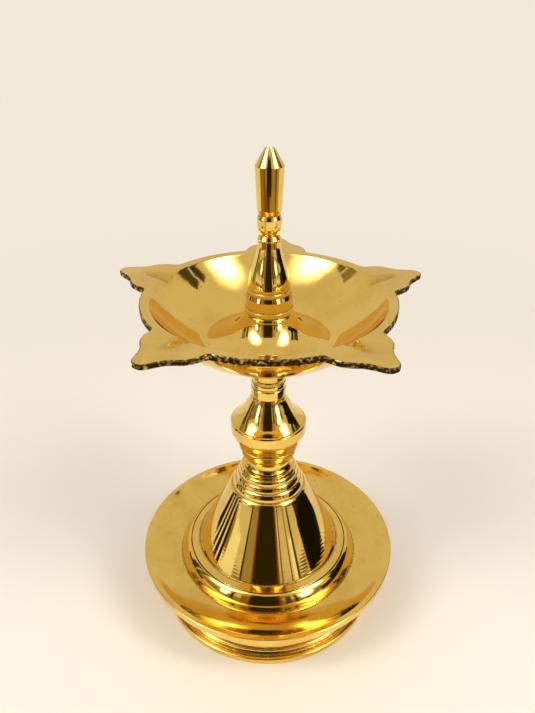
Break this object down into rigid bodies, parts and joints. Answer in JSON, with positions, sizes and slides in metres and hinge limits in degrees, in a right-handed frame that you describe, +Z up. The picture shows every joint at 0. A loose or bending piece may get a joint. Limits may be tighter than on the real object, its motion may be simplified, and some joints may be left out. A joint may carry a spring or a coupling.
{
  "type": "diya oil lamp",
  "caption": "Polished brass oil lamp on a stand: hollow foot with a drip tray, turned cone and stem, oil bowl with wick beaks, and a finial that screws down on the bowl.",
  "frame": {"origin": "middle of the lamp's footprint, on the surface that it stands on; the lamp's own axis stands 3.04 mm in front of it, because the back beak reaches further than the tray does at the front", "axes": "+Z up along the lamp's axis, +Y to the back beak, +X to the right as seen from the front"},
  "size_m": [0.1076, 0.106, 0.1788],
  "materials": {
    "polished_brass": "turned and mirror polished",
    "turned_brass": "polished over fine lathe lines",
    "buffed_brass": "cast, turned and buffed, casting edges left rough",
    "zinc_steel": "zinc plated",
    "red_fibre": "vulcanised fibre, matt"
  },
  "bodies": {
    "base": {"foot_tray": "buffed_brass", "cone": "turned_brass", "stem": "polished_brass", "base_bolt": "zinc_steel", "base_washer": "zinc_steel", "lock_washer": "zinc_steel"},
    "bowl_seal": {"bowl_seal": "red_fibre"},
    "bowl": {"bowl": "buffed_brass"},
    "finial_seal": {"finial_seal": "red_fibre"},
    "finial": {"finial": "polished_brass"}
  },
  "joints": [
    {"name": "bowl_lift", "type": "slide", "parent": "base", "child": "bowl_seal", "axis": [0, 0, 1], "range_m": [0, 0.0215]},
    {"name": "bowl_turn", "type": "hinge", "parent": "bowl_seal", "child": "bowl", "pos_m": [0, -0.00304, 0.1081], "axis": [0, 0, 1], "range_deg": [0, 5400]},
    {"name": "finial_lift", "type": "slide", "parent": "bowl", "child": "finial_seal", "axis": [0, 0, 1], "range_m": [0, 0.0102]},
    {"name": "finial_turn", "type": "hinge", "parent": "finial_seal", "child": "finial", "pos_m": [0, -0.00304, 0.1264], "axis": [0, 0, 1], "range_deg": [0, 2520]}
  ],
  "couplings": [
    {"joint": "bowl_lift", "follows": "bowl_turn", "m_per_rad": 0.00022458},
    {"joint": "finial_lift", "follows": "finial_turn", "m_per_rad": 0.00022458}
  ]
}
